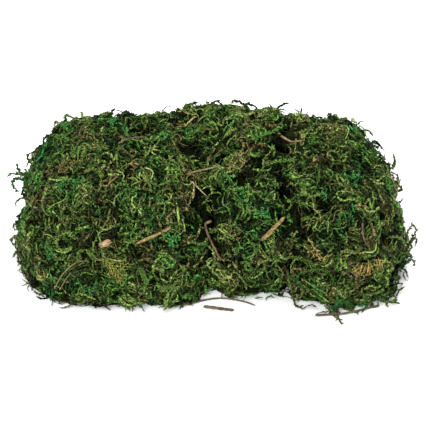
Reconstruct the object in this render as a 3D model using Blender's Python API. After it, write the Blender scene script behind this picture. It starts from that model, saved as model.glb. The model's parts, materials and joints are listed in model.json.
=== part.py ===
"""A clump of dried, green-dyed moss, as it comes out of its bag: four tangled wads pressed into one loaf,
with bark, twigs, stems and straw caught in them. Each wad is a solid that reaches the tips of its moss.
Metres, +Z up."""

import math

import bmesh
import bpy
from mathutils import Matrix, Vector, noise
from mathutils.bvhtree import BVHTree

MM = 0.001
GAP = 0.4 * MM  # clearance left between pieces that touch
LUMP_SIZE, LUMP_DEPTH = 34 * MM, 3.2 * MM  # broad swells of the pressed moss
TUFT_SIZE, TUFT_DEPTH = 13 * MM, 1.1 * MM  # single tufts
SLUMP = 0.1  # how much wider a wad is at its foot, and narrower at its top, than at its middle
WAD_DETAIL = 4  # subdivisions of the sphere that each wad starts from
CORE_HALF, CORE_HEIGHT = 60 * MM, 26 * MM  # the line through the loaf that its surface faces away from
REACH = 150 * MM  # further than any point of the loaf is from that line
CUTTER_SIDE = 600 * MM
TWIG_TAPER = 0.28  # how much thinner a stick is at its far end
SLAT_TAPER, SLAT_SKEW = 0.9, 0.18  # how a strip narrows to both ends, and more to one of them

# name: centre, half sizes, turn about Z in degrees, squareness (2 is an ellipsoid, more is boxier), all in mm
WADS = {
    "left_wad": ((-60, -3, 28), (65, 66, 57), -4, 3.1),
    "middle_wad": ((31, -16, 30), (39, 41, 54), -24, 2.8),
    "right_wad": ((78, -5, 27), (46, 66, 57), 12, 2.9),
    "back_wad": ((16, 25, 28), (73, 45, 56), -4, 2.8),
}
# Hollows in the clefts between the wads: centre in mm, how wide and how deep
HOLLOWS = [
    ((-46, 19, 84), 10, 8),
    ((18, -28, 79), 10, 6),
    ((-4, -30, 68), 9, 6),
    ((-5, -42, 56), 9, 5),
    ((49, -38, 73), 10, 8),
    ((53, -50, 62), 10, 8),
    ((75, -47, 76), 9, 6),
]

# name: points that the piece passes, brought to the surface; then diameter and how far it stands out, in mm
ROUND_PIECES = {
    "bent_twig": ([(1, -45, 55), (-4, -46, 51), (1, -52, 40), (7, -56, 27)], 2.0, 0.6),
    "top_twig": ([(-61, -4, 86), (-52, 3, 85), (-42, 10, 85)], 1.5, 0.4),
    "corner_twig": ([(46, 12, 83), (53, 6, 83), (60, 3, 83)], 1.9, 0.5),
    "stub_twig": ([(-3, -54, 18), (3, -56, 8)], 2.1, 0.6),
    "curved_stem": ([(-102, -64, 15), (-96, -65, 29), (-84, -66, 42)], 1.2, 0.5),
    "curved_stem_2": ([(-98, -64, 15), (-92, -65, 28), (-81, -66, 41)], 1.1, 0.5),
    "dark_stem": ([(98, -57, 64), (99, -62, 55), (105, -63, 43)], 1.4, 0.5),
    "pale_straw": ([(-14, -27, 75), (-1, -37, 70)], 1.2, 0.8),
    "top_needle": ([(68, 19, 85), (77, 18, 85), (88, 14, 84)], 1.0, 0.5),
}

# The pieces that lie on the table: points in mm at table level, then the diameter
TABLE_PIECES = {
    "front_twig": ([(-19, -65, 0), (3, -57.5, 0), (19, -60, 0), (29, -65, 0)], 1.5),
    "long_twig": ([(68, -75.5, 0), (88, -73.5, 0), (110, -65, 0)], 1.8),
}

# name: start and end, brought to the surface; then width, thickness, bow and how far it stands out, in mm
FLAT_PIECES = {
    "bark_sliver": ((-49, -66, 53), (-26, -60, 62), 3.0, 1.2, 1.6, 0.5),
    "bark_chip": ((33.5, -58, 51), (46, -53, 63.5), 3.6, 1.4, 0.8, 2.8),
    "bark_crumb": ((-72, -65, 51), (-66, -65, 54), 4.6, 2.2, 0.0, 0.5),
    "flat_straw": ((-14, -22, 79), (6, -17, 82), 1.8, 0.7, 0.8, 0.8),
    "green_blade": ((-23, -49, 74), (-21, -60, 58), 1.5, 0.7, 0.3, 0.6),
}
BARK_STRIP = ((-5, -66), (15, -70), 2.8, 1.3)  # start, end, width and thickness, lying on the table

COLOURS = {
    "wad": (0.043, 0.066, 0.020),
    "bark": (0.330, 0.200, 0.095),
    "twig": (0.130, 0.080, 0.045),
    "straw": (0.420, 0.330, 0.170),
    "blade": (0.180, 0.230, 0.060),
}


def clear_scene():
    for obj in list(bpy.data.objects):
        bpy.data.objects.remove(obj)


def make_collection(name):
    made = bpy.data.collections.new(name)
    bpy.context.scene.collection.children.link(made)
    return made


def make_material(name, colour, roughness):
    material = bpy.data.materials.new(name)
    material.use_nodes = True
    shader = material.node_tree.nodes["Principled BSDF"]
    shader.inputs["Base Color"].default_value = (*colour, 1)
    shader.inputs["Roughness"].default_value = roughness
    shader.inputs["Metallic"].default_value = 0
    return material


def new_object(name, mesh, collection, material=None):
    obj = bpy.data.objects.new(name, mesh)
    collection.objects.link(obj)
    if material:
        mesh.materials.clear()
        mesh.materials.append(material)
    return obj


def hide_cutter(obj):
    obj.hide_render = True
    obj.display_type = "WIRE"


def smooth(mesh, angle=math.radians(40)):
    mesh.shade_smooth()
    mesh.set_sharp_from_angle(angle=angle)


# ---------------------------------------------------------------- wads


def hollow_depth(at):
    """How far the surface sinks at a place, from the hollows near it."""
    total = 0
    for centre, wide, depth in HOLLOWS:
        away = (at / MM - Vector(centre)).length / wide
        total += depth * MM * math.exp(-away * away)
    return total


def wad_mesh(name, grow=0.0):
    """A lumpy rounded box: a sphere pushed out to a superellipsoid, then swollen along its normal."""
    centre, half, turn, squareness = WADS[name]
    mesh = bpy.data.meshes.new(name)
    shape = bmesh.new()
    bmesh.ops.create_icosphere(shape, subdivisions=WAD_DETAIL, radius=1)
    half = Vector(half) * MM
    place = Matrix.Translation(Vector(centre) * MM) @ Matrix.Rotation(math.radians(turn), 4, "Z")
    for vertex in shape.verts:
        out = vertex.co.normalized()
        reach = sum(abs(c) ** squareness for c in out) ** (-1 / squareness)
        slump = 1 - SLUMP * out.z
        surface = Vector((out.x * half.x * slump, out.y * half.y * slump, out.z * half.z)) * reach
        normal = Vector(math.copysign(abs(c) ** (squareness - 1), c) / side for c, side in zip(out, half))
        at = place @ surface
        swell = LUMP_DEPTH * noise.noise(at / LUMP_SIZE) + TUFT_DEPTH * noise.noise(at / TUFT_SIZE)
        swell -= hollow_depth(at)
        vertex.co = at + place.to_3x3() @ normal.normalized() * swell
    shape.normal_update()
    for vertex, normal in [(v, v.normal.copy()) for v in shape.verts]:
        vertex.co += normal * grow
    shape.to_mesh(mesh)
    shape.free()
    return mesh


def add_difference(obj, cutter):
    cut = obj.modifiers.new(f"clear_{cutter.name}", "BOOLEAN")
    cut.operation = "DIFFERENCE"
    cut.object = cutter


def make_ground_cutter(collection):
    mesh = bpy.data.meshes.new("ground_cutter")
    shape = bmesh.new()
    below = Matrix.Translation((0, 0, -CUTTER_SIDE / 2)) @ Matrix.Scale(CUTTER_SIDE, 4)
    bmesh.ops.create_cube(shape, size=1, matrix=below)
    shape.to_mesh(mesh)
    shape.free()
    cutter = new_object("ground_cutter", mesh, collection)
    hide_cutter(cutter)
    return cutter


def make_wads(parts, cutters, material):
    """Each wad gives way to the ones before it, and all are flat where they rest."""
    ground = make_ground_cutter(cutters)
    wads, earlier = [], []
    for name in WADS:
        wad = new_object(name, wad_mesh(name), parts, material)
        add_difference(wad, ground)
        for cutter in earlier:
            add_difference(wad, cutter)
        cutter = new_object(f"{name}_cutter", wad_mesh(name, grow=GAP), cutters)
        hide_cutter(cutter)
        earlier.append(cutter)
        wads.append(wad)
    return wads


# ---------------------------------------------------------------- the surface that the small pieces lie in


def loaf_surface():
    """One tree over all the wads' outsides, for laying twigs in them."""
    points, faces = [], []
    for name in WADS:
        mesh = wad_mesh(name)
        faces += [[i + len(points) for i in face.vertices] for face in mesh.polygons]
        points += [vertex.co.copy() for vertex in mesh.vertices]
        bpy.data.meshes.remove(mesh)
    return BVHTree.FromPolygons(points, faces)


def on_surface(surface, near, stand_out):
    """(place, normal) where the line from the loaf's core through near, in mm, leaves the loaf."""
    near = Vector(near) * MM
    core = Vector((max(-CORE_HALF, min(CORE_HALF, near.x)), 0, CORE_HEIGHT))
    outward = (near - core).normalized()
    place, normal, _, _ = surface.ray_cast(core + outward * REACH, -outward)
    return place + normal * stand_out * MM, normal


def eased_path(points, steps_per_span=4):
    """A Catmull-Rom curve through the points."""
    ends = [points[0] * 2 - points[1], *points, points[-1] * 2 - points[-2]]
    path = []
    for a, b, c, d in zip(ends, ends[1:], ends[2:], ends[3:]):
        for step in range(steps_per_span):
            t = step / steps_per_span
            bend, twist = 2 * a - 5 * b + 4 * c - d, 3 * b - a - 3 * c + d
            path.append(0.5 * (2 * b + (c - a) * t + bend * t * t + twist * t**3))
    return [*path, points[-1]]


# ---------------------------------------------------------------- round pieces: twigs, stems and straw


def tube_mesh(name, path, diameter, grow=0.0):
    """A tapering stick along the path, as a closed mesh."""
    data = bpy.data.curves.new(name, "CURVE")
    data.dimensions = "3D"
    data.bevel_depth = 1
    data.bevel_resolution = 1
    data.use_fill_caps = True
    spline = data.splines.new("POLY")
    spline.points.add(len(path) - 1)
    first = path[0] + (path[0] - path[1]).normalized() * grow
    last = path[-1] + (path[-1] - path[-2]).normalized() * grow
    for i, (point, at) in enumerate(zip(spline.points, [first, *path[1:-1], last])):
        taper = 1 - TWIG_TAPER * i / (len(path) - 1)
        point.co = (*at, 1)
        point.radius = diameter / 2 * taper + grow
    curve = bpy.data.objects.new(name, data)
    bpy.context.scene.collection.objects.link(curve)
    bpy.context.view_layer.update()
    mesh = bpy.data.meshes.new_from_object(curve.evaluated_get(bpy.context.evaluated_depsgraph_get()))
    bpy.data.objects.remove(curve)
    shape = bmesh.new()
    shape.from_mesh(mesh)
    bmesh.ops.remove_doubles(shape, verts=shape.verts, dist=0.01 * MM)
    shape.to_mesh(mesh)
    shape.free()
    return mesh


def make_round_piece(name, path, diameter, parts, cutters, material):
    piece = new_object(name, tube_mesh(name, path, diameter), parts, material)
    smooth(piece.data)
    channel = new_object(f"{name}_channel", tube_mesh(name, path, diameter, grow=GAP), cutters)
    hide_cutter(channel)
    return channel


# ---------------------------------------------------------------- flat pieces: bark and blades


def slat_mesh(name, length, width, thickness, bow, grow=0.0):
    """A flat strip along X that narrows to its ends and bows along Z."""
    mesh = bpy.data.meshes.new(name)
    shape = bmesh.new()
    bmesh.ops.create_grid(shape, x_segments=5, y_segments=1, size=0.5)
    bmesh.ops.solidify(shape, geom=shape.faces[:], thickness=1)
    low = min(vertex.co.z for vertex in shape.verts)
    for vertex in shape.verts:
        x, y, z = vertex.co.x, vertex.co.y, vertex.co.z - low - 0.5
        narrowing = 1 - SLAT_TAPER * x * x - SLAT_SKEW * x
        vertex.co = (
            x * (length + 2 * grow),
            y * (width * narrowing + 2 * grow),
            z * (thickness + 2 * grow) + bow * (0.25 - x * x),
        )
    bmesh.ops.recalc_face_normals(shape, faces=shape.faces)
    shape.to_mesh(mesh)
    shape.free()
    return mesh


def frame_along(start, end, normal):
    """A matrix at the middle of start and end: X along them and Z as near the normal as it can be."""
    x = (end - start).normalized()
    z = (normal - x * normal.dot(x)).normalized()
    y = z.cross(x)
    turned = Matrix((x, y, z)).transposed().to_4x4()
    return Matrix.Translation((start + end) / 2) @ turned


def make_flat_piece(name, start, end, normal, width, thickness, bow, parts, cutters, material):
    place, length = frame_along(start, end, normal), (end - start).length
    size = (length, width * MM, thickness * MM, bow * MM)
    piece = new_object(name, slat_mesh(name, *size), parts, material)
    piece.matrix_world = place
    smooth(piece.data)
    channel = new_object(f"{name}_channel", slat_mesh(name, *size, grow=GAP), cutters)
    channel.matrix_world = place
    hide_cutter(channel)
    return channel


def make_small_pieces(parts, cutters, materials):
    """Every stick, stem and flake, and the channels that they press into the wads."""
    surface, channels = loaf_surface(), []
    for name, (points, diameter, stand_out) in ROUND_PIECES.items():
        path = eased_path([on_surface(surface, point, stand_out)[0] for point in points])
        material = materials["straw" if "straw" in name else "twig"]
        channels.append(make_round_piece(name, path, diameter * MM, parts, cutters, material))
    for name, (points, diameter) in TABLE_PIECES.items():
        lift = Vector((0, 0, (diameter / 2 + 0.3) * MM))
        path = eased_path([Vector(point) * MM + lift for point in points])
        channels.append(make_round_piece(name, path, diameter * MM, parts, cutters, materials["twig"]))
    for name, (near_start, near_end, width, thickness, bow, stand_out) in FLAT_PIECES.items():
        start, first = on_surface(surface, near_start, stand_out)
        end, last = on_surface(surface, near_end, stand_out)
        material = materials["bark" if "bark" in name else "blade" if "blade" in name else "straw"]
        size = (width, thickness, bow)
        channels.append(make_flat_piece(name, start, end, first + last, *size, parts, cutters, material))
    start, end, width, thickness = BARK_STRIP
    lift = thickness / 2 + 0.3
    start, end = (Vector((*point, lift)) * MM for point in (start, end))
    up, size = Vector((0, 0, 1)), (width, thickness, 0)
    channels.append(make_flat_piece("bark_strip", start, end, up, *size, parts, cutters, materials["bark"]))
    return channels


# ---------------------------------------------------------------- the whole clump


def world_corners(obj):
    graph = bpy.context.evaluated_depsgraph_get()
    evaluated = obj.evaluated_get(graph)
    return [evaluated.matrix_world @ Vector(corner) for corner in evaluated.bound_box]


def bounds(corners):
    return [[pick(corner[i] for corner in corners) for i in range(3)] for pick in (min, max)]


def near_each_other(a, b):
    low_a, high_a = bounds(world_corners(a))
    low_b, high_b = bounds(world_corners(b))
    return all(low_a[i] < high_b[i] and low_b[i] < high_a[i] for i in range(3))


def centre_on_origin(objects):
    """Parents everything to one empty and moves that so that the clump's box stands centred on the origin."""
    bpy.context.view_layer.update()
    corners = [corner for obj in objects if not obj.hide_render for corner in world_corners(obj)]
    low, high = bounds(corners)
    hub = bpy.data.objects.new("moss_clump", None)
    bpy.context.scene.collection.objects.link(hub)
    for obj in objects:
        obj.parent = hub
    hub.location = (-(low[0] + high[0]) / 2, -(low[1] + high[1]) / 2, -low[2])


def main():
    clear_scene()
    parts, cutters = make_collection("moss_clump"), make_collection("cutters")
    materials = {name: make_material(name, colour, 0.85) for name, colour in COLOURS.items()}
    wads = make_wads(parts, cutters, materials["wad"])
    channels = make_small_pieces(parts, cutters, materials)
    bpy.context.view_layer.update()
    for wad in wads:
        for channel in channels:
            if near_each_other(wad, channel):
                add_difference(wad, channel)
    centre_on_origin([*parts.objects, *cutters.objects])


main()
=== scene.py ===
"""Looks of a clump of dried, green-dyed sheet moss: four wads of tangled shoots pressed together, with
fronds, stray sprigs, twigs, bark and straw caught in them. Metres, +Z up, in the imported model's frame."""

import json
import math

import bmesh
import bpy
import numpy as np
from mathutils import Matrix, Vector, noise
from mathutils.bvhtree import BVHTree

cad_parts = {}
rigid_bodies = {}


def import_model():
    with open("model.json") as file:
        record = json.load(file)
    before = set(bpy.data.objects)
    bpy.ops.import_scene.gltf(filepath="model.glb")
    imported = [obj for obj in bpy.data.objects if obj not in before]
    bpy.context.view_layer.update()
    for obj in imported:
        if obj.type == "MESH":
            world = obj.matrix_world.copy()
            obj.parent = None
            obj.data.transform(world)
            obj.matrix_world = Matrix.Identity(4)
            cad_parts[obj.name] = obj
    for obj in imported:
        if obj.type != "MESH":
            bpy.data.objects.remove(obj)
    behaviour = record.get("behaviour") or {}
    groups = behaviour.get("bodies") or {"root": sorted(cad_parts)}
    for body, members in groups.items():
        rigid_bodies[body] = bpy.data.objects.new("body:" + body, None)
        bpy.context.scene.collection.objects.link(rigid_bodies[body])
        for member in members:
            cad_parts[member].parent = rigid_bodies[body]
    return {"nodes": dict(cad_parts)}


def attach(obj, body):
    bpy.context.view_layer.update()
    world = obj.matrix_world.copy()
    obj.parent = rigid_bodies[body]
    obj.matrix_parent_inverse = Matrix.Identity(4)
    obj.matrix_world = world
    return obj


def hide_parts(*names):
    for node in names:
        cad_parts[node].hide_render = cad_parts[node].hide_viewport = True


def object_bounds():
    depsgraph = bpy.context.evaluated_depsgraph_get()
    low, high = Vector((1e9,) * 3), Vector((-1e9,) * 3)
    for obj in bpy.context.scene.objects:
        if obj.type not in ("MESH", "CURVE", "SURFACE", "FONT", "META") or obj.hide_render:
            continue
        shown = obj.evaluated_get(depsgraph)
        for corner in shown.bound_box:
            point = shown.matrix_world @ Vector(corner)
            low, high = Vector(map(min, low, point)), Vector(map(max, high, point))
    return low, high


bl_info = {
    "name": "Moss Clump",
    "version": (1, 0, 0),
    "blender": (4, 5, 0),
    "location": "View3D > Sidebar > Moss",
    "description": "Covers a packed clump with moss shoots, sprigs, twigs, bark and straw",
    "category": "Object",
}

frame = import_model()
CAD_LOW, CAD_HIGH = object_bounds()

MM = 0.001
MERGE = 0.001 * MM  # vertices nearer than this are one
WADS = ["left_wad", "middle_wad", "right_wad", "back_wad"]
BAKE_MAP = "OFBake"  # the UV map in which every strand has its own place


def linear(code):
    """A colour written as sRGB hex, as linear red, green, blue and alpha."""
    parts = [int(code[i : i + 2], 16) / 255 for i in (1, 3, 5)]
    return (*[c / 12.92 if c <= 0.04045 else ((c + 0.055) / 1.055) ** 2.4 for c in parts], 1.0)


# ---------------------------------------------------------------- what a user would change


class PackedMossSettings(bpy.types.PropertyGroup):
    """The pressed moss under the loose shoots"""

    detail: bpy.props.FloatProperty(
        name="Detail", description="Size of the faces of a wad's surface", default=3.2 * MM, unit="LENGTH"
    )
    tuft_size: bpy.props.FloatProperty(
        name="Tuft Size", description="Distance between tufts", default=11 * MM, unit="LENGTH"
    )
    tuft_depth: bpy.props.FloatProperty(
        name="Tuft Depth", description="Depth of the gaps between tufts", default=6 * MM, unit="LENGTH"
    )
    bed_depth: bpy.props.FloatProperty(
        name="Bed Depth",
        description="How far the packed moss lies under the shoots",
        default=2.2 * MM,
        unit="LENGTH",
    )
    # Painted shade: the packed moss is coloured near-black, so that where it shows between the shoots it
    # stands in for their shade
    colour: bpy.props.FloatVectorProperty(
        name="Colour",
        description="Packed moss in the gaps",
        subtype="COLOR",
        size=4,
        default=linear("#101606"),
    )


class ShootSettings(bpy.types.PropertyGroup):
    """The loose shoots that cover the wads"""

    length: bpy.props.FloatProperty(
        name="Length", description="Length of a curled shoot", default=15 * MM, unit="LENGTH"
    )
    width: bpy.props.FloatProperty(
        name="Width", description="Width of a shoot across its leaves", default=2.0 * MM, unit="LENGTH"
    )
    leaf_pitch: bpy.props.FloatProperty(
        name="Leaf Pitch", description="Distance between rows of leaves", default=2.2 * MM, unit="LENGTH"
    )
    coat_density: bpy.props.FloatProperty(
        name="Coat Density", description="Leafy shoots per square metre", default=230000
    )
    mat_density: bpy.props.FloatProperty(
        name="Mat Density", description="Bare stems per square metre", default=60000
    )
    swirl: bpy.props.FloatProperty(
        name="Swirl", description="How far shoots keep one direction", default=28 * MM, unit="LENGTH"
    )
    seed: bpy.props.IntProperty(name="Seed", description="Changes where every shoot lies", default=7)


class StageSettings(bpy.types.PropertyGroup):
    """Floor, lights and camera"""

    floor_size: bpy.props.FloatProperty(
        name="Floor Size", description="Side of the floor", default=8, unit="LENGTH"
    )
    floor_colour: bpy.props.FloatVectorProperty(
        name="Floor Colour",
        description="Pale seamless paper",
        subtype="COLOR",
        size=4,
        default=linear("#f4f4f4"),
    )
    dome: bpy.props.FloatProperty(
        name="Dome", description="Strength of the light from all round", default=0.56
    )
    key: bpy.props.FloatProperty(
        name="Key", description="Power of the main softbox", default=52, unit="POWER"
    )
    elevation: bpy.props.FloatProperty(
        name="Elevation",
        description="How far down the camera looks",
        default=math.radians(38),
        subtype="ANGLE",
    )


# ---------------------------------------------------------------- nodes


def add(tree, kind, inputs=None, **settings):
    """Adds a node with its settings, then sets or links its inputs, given by name or by number."""
    node = tree.nodes.new(kind)
    for name, value in settings.items():
        setattr(node, name, value)
    for key, value in (inputs or {}).items():
        sockets = [socket for socket in node.inputs if socket.enabled]
        socket = sockets[key] if isinstance(key, int) else next(s for s in sockets if s.name == key)
        if isinstance(value, bpy.types.Node):
            value = next(output for output in value.outputs if output.enabled)
        if isinstance(value, bpy.types.NodeSocket):
            tree.links.new(value, socket)
        else:
            socket.default_value = value
    return node


def set_stops(ramp_node, stops):
    """Gives a colour ramp these (place, colour) stops."""
    elements = ramp_node.color_ramp.elements
    while len(elements) > 1:
        elements.remove(elements[-1])
    for place, colour in stops[1:]:
        elements.new(place).color = colour
    elements[0].position, elements[0].color = stops[0]


def new_material(name, roughness, gloss=0.5):
    """An empty material: its tree, its shader and the Object coordinates of what it is on."""
    material = bpy.data.materials.new(name)
    material.use_nodes = True
    shader = material.node_tree.nodes["Principled BSDF"]
    shader.inputs["Roughness"].default_value = roughness
    shader.inputs["Specular IOR Level"].default_value = gloss
    place = add(material.node_tree, "ShaderNodeTexCoord").outputs["Object"]
    return material, material.node_tree, shader, place


def new_tree(name, inputs):
    """A geometry node tree that takes a mesh and these inputs, each a label and a socket type."""
    tree = bpy.data.node_groups.new(name, "GeometryNodeTree")
    tree.interface.new_socket("Geometry", in_out="INPUT", socket_type="NodeSocketGeometry")
    for label, kind in inputs:
        tree.interface.new_socket(label, in_out="INPUT", socket_type=kind)
    tree.interface.new_socket("Geometry", in_out="OUTPUT", socket_type="NodeSocketGeometry")
    return tree, tree.nodes.new("NodeGroupInput")


# ---------------------------------------------------------------- meshes


def new_object(name, mesh, material=None):
    obj = bpy.data.objects.new(name, mesh)
    bpy.context.scene.collection.objects.link(obj)
    if material:
        mesh.materials.clear()
        mesh.materials.append(material)
    return obj


def evaluated_mesh(obj):
    """The mesh that an object's modifiers make. The object itself is removed."""
    graph = bpy.context.evaluated_depsgraph_get()
    mesh = bpy.data.meshes.new_from_object(obj.evaluated_get(graph), depsgraph=graph)
    bpy.data.objects.remove(obj)
    return mesh


def run_tree(obj, tree, values):
    """Runs a geometry node tree on an object, with its inputs given by label, and returns the mesh."""
    modifier = obj.modifiers.new(tree.name, "NODES")
    modifier.node_group = tree
    inputs = [item for item in tree.interface.items_tree if item.in_out == "INPUT"]
    identifiers = {item.name: item.identifier for item in inputs}
    for label, value in values.items():
        modifier[identifiers[label]] = value
    return evaluated_mesh(obj)


def merged_copy(node):
    """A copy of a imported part's mesh, whose loose triangles are joined."""
    mesh = bpy.data.meshes.new(node)
    shape = bmesh.new()
    shape.from_mesh(frame["nodes"][node].data)
    bmesh.ops.remove_doubles(shape, verts=shape.verts, dist=MERGE)
    shape.to_mesh(mesh)
    shape.free()
    return mesh


def coordinates(mesh, what="co"):
    """The place of each vertex, or its normal, as rows."""
    values = np.empty(len(mesh.vertices) * 3)
    mesh.vertices.foreach_get(what, values)
    return values.reshape(-1, 3)


def move_to(mesh, points):
    mesh.vertices.foreach_set("co", np.asarray(points, dtype=np.float32).ravel())
    mesh.update()


def store(mesh, name, values):
    """Keeps one number for each vertex as an attribute."""
    attribute = mesh.attributes.get(name) or mesh.attributes.new(name, "FLOAT", "POINT")
    attribute.data.foreach_set("value", np.asarray(values, dtype=np.float32))


def values_of(mesh, name):
    """The numbers kept as an attribute."""
    return np.array([item.value for item in mesh.attributes[name].data])


def surface_tree(nodes):
    """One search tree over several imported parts."""
    points, faces = [], []
    for node in nodes:
        mesh = frame["nodes"][node].data
        faces += [[i + len(points) for i in face.vertices] for face in mesh.polygons]
        points += [vertex.co.copy() for vertex in mesh.vertices]
    return BVHTree.FromPolygons(points, faces)


SETTLE = 1.2 * MM  # shoots nearer the table than this are pressed flat


def settle(points):
    """Presses what is near or under the table flat on it, without letting anything pass through."""
    z = points[:, 2]
    points[:, 2] = SETTLE * np.exp(np.minimum(z, SETTLE) / SETTLE - 1) + np.maximum(z - SETTLE, 0)
    return points


def finish_piece(obj, slot, *replaced):
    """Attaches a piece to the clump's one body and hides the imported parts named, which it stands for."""
    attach(obj, "root")
    if replaced:
        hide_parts(*replaced)


# ---------------------------------------------------------------- strands

SIDES = 3  # corners of a strand's cross-section
WAIST = 0.55  # width of a shoot's stem between its leaves, as a share of its full width
LEAF_REACH = 1.25  # how far a leaf reaches along the shoot, as a share of the leaf pitch
LEAF_SPREAD = (0.6, 1.6)  # least and most that a leaf stands out, as a share of half the width
LEAF_SHADES = (0.4, 0.9)  # how leafy a shoot counts as at the foot and at the tip of each row of leaves
STEM_SPREAD = (0.8, 1.2)  # the same as a leaf's spread, for the corners of a bare stem
STEM_END = 0.96  # where the last ring of a bare stem sits, as a share of its length
UV_MARGIN = 0.05  # empty edge of each strand's place in the bake map


def unit(vectors):
    """The same directions with a length of 1."""
    return vectors / np.maximum(np.linalg.norm(vectors, axis=-1, keepdims=True), 1e-12)


def carried_frames(points):
    """Two directions across a path at each point, carried along it without twisting."""
    ahead = unit(np.gradient(points, axis=0))
    across = np.empty_like(points)
    last = np.array([0.01, 1.02, 0.03])  # near +Y, but not along it, as a path may run that way
    for i, along in enumerate(ahead):
        last = unit(last - along * (last @ along))
        across[i] = last
    return across, np.cross(ahead, across)


def strand_faces(rings):
    """Triangles of a closed strand with this many rings, and their corners in a unit square. The last two
    vertices are its root and its tip."""
    faces, corners = [], []
    root, tip = rings * SIDES, rings * SIDES + 1
    step = 1 / (rings + 1)
    for j in range(SIDES):
        left, right = j / SIDES, (j + 1) / SIDES
        k = (j + 1) % SIDES
        faces.append((root, k, j))
        corners.append(((left + right) / 2, 0, right, step, left, step))
        for i in range(rings - 1):
            low, high, near, far = i * SIDES, (i + 1) * SIDES, (i + 1) * step, (i + 2) * step
            faces += [(low + j, low + k, high + k), (low + j, high + k, high + j)]
            corners += [(left, near, right, near, right, far), (left, near, right, far, left, far)]
        last = (rings - 1) * SIDES
        faces.append((last + j, last + k, tip))
        corners.append((left, 1 - step, right, 1 - step, (left + right) / 2, 1))
    return np.array(faces), np.array(corners).reshape(-1, 3, 2)


class Tangle:
    """Strands gathered into one mesh."""

    def __init__(self):
        self.strands = []

    def add(self, path, places, radii, leafiness, phase, facts):
        """A strand along a path: places are where its rings sit along it, from 0 to 1 of its length, radii
        holds three for each ring, and phase is how far each ring is turned."""
        lengths = np.concatenate([[0], np.cumsum(np.linalg.norm(np.diff(path, axis=0), axis=1))])
        lengths /= lengths[-1]
        across, over = carried_frames(path)
        centre, side, lift = (
            np.stack([np.interp(places, lengths, values[:, axis]) for axis in range(3)], axis=1)
            for values in (path, across, over)
        )
        turn = 2 * np.pi * np.arange(SIDES) / SIDES + phase[:, None]
        ring = centre[:, None] + radii[..., None] * (
            np.cos(turn)[..., None] * side[:, None] + np.sin(turn)[..., None] * lift[:, None]
        )
        points = np.concatenate([ring.reshape(-1, 3), path[:1], path[-1:]])
        along = np.concatenate([np.repeat(places, SIDES), [0, 1]])
        leaf = np.concatenate([np.repeat(leafiness, SIDES), [0, 1]])
        self.strands.append((points, len(places), along, leaf, facts))

    def leafy(self, path, width, pitch, dice, **facts):
        """A shoot wrapped in rows of three leaves, each row turned half a step from the last."""
        length = np.linalg.norm(np.diff(path, axis=0), axis=1).sum()
        rows = max(2, round(length / pitch))
        start = np.arange(rows) / rows
        places = np.stack([start, np.minimum(start + LEAF_REACH / rows, 1)], axis=1).ravel()
        taper = np.minimum(1, 0.5 + 3 * places) * (1 - 0.7 * places**4)
        ragged = dice.uniform(*LEAF_SPREAD, (2 * rows, SIDES))
        ragged[0::2] = WAIST
        phase = np.repeat(np.arange(rows) % 2, 2) * np.pi / SIDES
        radii = width / 2 * taper[:, None] * ragged
        self.add(path, places, radii, np.tile(LEAF_SHADES, rows), phase, facts)

    def bare(self, path, width, rings, dice, **facts):
        """A stem without leaves."""
        places = np.linspace(0, STEM_END, rings)
        taper = 1 - 0.6 * places**2
        radii = width / 2 * taper[:, None] * dice.uniform(*STEM_SPREAD, (rings, SIDES))
        self.add(path, places, radii, np.full(rings, dice.uniform()), np.zeros(rings), facts)

    def mesh(self, name):
        """All strands as one mesh, with the attributes that the materials read."""
        columns = math.ceil(math.sqrt(len(self.strands)))
        rows = math.ceil(len(self.strands) / columns)
        points, faces, corners, start = [], [], [], 0
        for i, (strand, rings, *_) in enumerate(self.strands):
            local, square = strand_faces(rings)
            points.append(strand)
            faces.append(local + start)
            square = square * (1 - 2 * UV_MARGIN) + UV_MARGIN
            corners.append((square + (i % columns, i // columns)) / (columns, rows))
            start += len(strand)
        mesh = bpy.data.meshes.new(name)
        mesh.from_pydata(np.concatenate(points), [], np.concatenate(faces))
        mesh.shade_smooth()
        bake_map = mesh.uv_layers.new(name=BAKE_MAP)
        bake_map.uv.foreach_set("vector", np.concatenate(corners).astype(np.float32).ravel())
        store(mesh, "along", np.concatenate([strand[2] for strand in self.strands]))
        store(mesh, "leaf", np.concatenate([strand[3] for strand in self.strands]))
        return mesh

    def paint(self, mesh, name):
        """Stores one fact of each strand, such as its hue, on the mesh that this tangle made."""
        each = [np.full(len(points), facts.get(name, 0.0)) for points, *_, facts in self.strands]
        store(mesh, name, np.concatenate(each))


def curl(dice, length, turn, arch, hook=0.0, wander=0.35, steps=22):
    """A path that curls in the plane, arches over and hooks at its tip, with its middle at the origin."""
    s = np.linspace(0, 1, steps)
    waves = sum(
        dice.normal(0, wander / rate) * np.sin(2 * np.pi * (rate * s + dice.uniform()))
        for rate in (1, 2, 3)
    )
    heading = turn * (s - 0.5) + hook * s**4 + waves
    step = length / (steps - 1)
    x, y = np.cumsum(np.cos(heading)) * step, np.cumsum(np.sin(heading)) * step
    z = arch * np.sin(np.pi * np.minimum(s * 1.15, 1) ** 0.8) + dice.uniform(-0.3, 0.6) * arch * s**2
    path = np.stack([x, y, z], axis=1)
    path[:, :2] -= path[:, :2].mean(axis=0)
    return path


# ---------------------------------------------------------------- packed moss


def smooth_noise(points, size):
    """Smooth noise at each point, about -1 to 1."""
    return np.array([noise.noise(Vector(point)) for point in points / size])


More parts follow.
